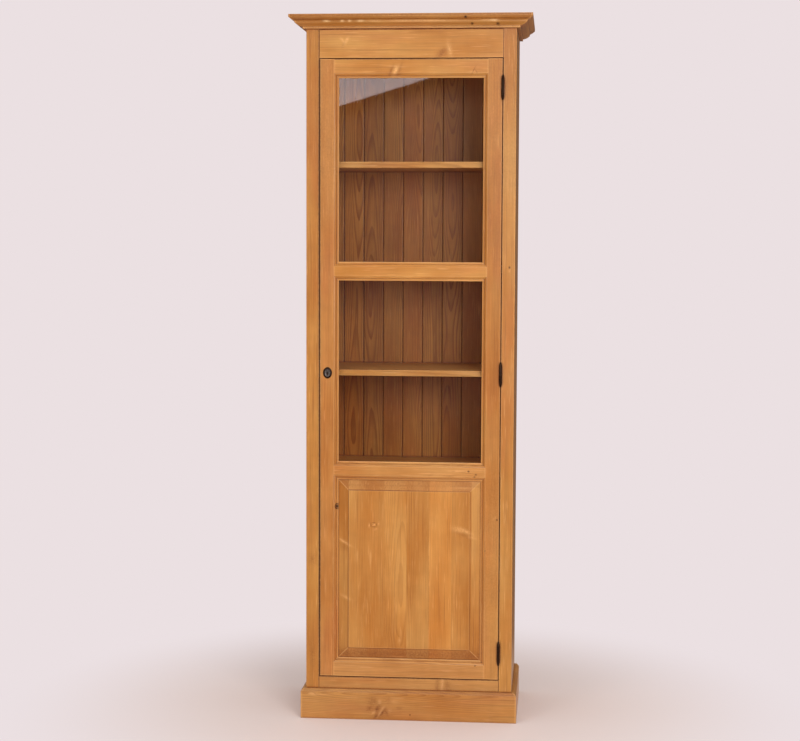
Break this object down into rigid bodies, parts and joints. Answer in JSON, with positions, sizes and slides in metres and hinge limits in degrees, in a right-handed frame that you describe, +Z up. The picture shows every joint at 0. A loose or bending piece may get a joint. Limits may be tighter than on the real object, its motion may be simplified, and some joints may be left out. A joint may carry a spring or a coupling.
{
  "type": "display cabinet",
  "caption": "Tall narrow pine display cabinet with a moulded cornice, a plinth, shelves and one hinged, lockable door, glazed above a raised panel.",
  "frame": {"origin": "on the floor, at the middle of the space that the cabinet takes, cornice included", "axes": "+X to the right seen from the front, +Y towards the wall behind, +Z up"},
  "size_m": [0.714, 0.422, 2.1],
  "materials": {
    "pine_case": "honey satin",
    "pine_door": "honey satin",
    "pine_inside": "honey satin",
    "glass": "clear float",
    "dark_bronze": "dark bronze",
    "lock_steel": "plain"
  },
  "bodies": {
    "root": {"back_board_1": "pine_inside", "back_board_10": "pine_inside", "back_board_2": "pine_inside", "back_board_3": "pine_inside", "back_board_4": "pine_inside", "back_board_5": "pine_inside", "back_board_6": "pine_inside", "back_board_7": "pine_inside", "back_board_8": "pine_inside", "back_board_9": "pine_inside", "base_rail": "pine_case", "bottom_board": "pine_inside", "cornice_front": "pine_case", "cornice_left": "pine_case", "cornice_right": "pine_case", "door_stop": "pine_inside", "frame_stile_left": "pine_case", "frame_stile_right": "pine_case", "frieze_rail": "pine_case", "hinge_bottom_frame_half": "dark_bronze", "hinge_middle_frame_half": "dark_bronze", "hinge_top_frame_half": "dark_bronze", "plinth_front": "pine_case", "plinth_left": "pine_case", "plinth_right": "pine_case", "shelf_1": "pine_inside", "shelf_2": "pine_inside", "shelf_3": "pine_inside", "shelf_4": "pine_inside", "shelf_5": "pine_inside", "shelf_bearers_left": "pine_inside", "shelf_bearers_right": "pine_inside", "side_left": "pine_case", "side_right": "pine_case", "strike_plate": "lock_steel", "top_board": "pine_case"},
    "door": {"door_bottom_rail": "pine_door", "door_glazing_rail": "pine_door", "door_panel": "pine_door", "door_panel_rail": "pine_door", "door_stile_left": "pine_door", "door_stile_right": "pine_door", "door_top_rail": "pine_door", "escutcheon": "dark_bronze", "glass_beads_lower": "pine_door", "glass_beads_upper": "pine_door", "glass_lower": "glass", "glass_upper": "glass", "hinge_bottom_door_half": "dark_bronze", "hinge_middle_door_half": "dark_bronze", "hinge_top_door_half": "dark_bronze", "lock_case": "lock_steel"},
    "bolt": {"lock_bolt": "lock_steel"}
  },
  "joints": [
    {"name": "door_hinge", "type": "hinge", "parent": "root", "child": "door", "pos_m": [0.27025, -0.169, 1.046], "axis": [0, 0, 1], "range_deg": [0, 170]},
    {"name": "bolt_slide", "type": "slide", "parent": "door", "child": "bolt", "axis": [-1, 0, 0], "range_m": [0, 0.009]}
  ]
}
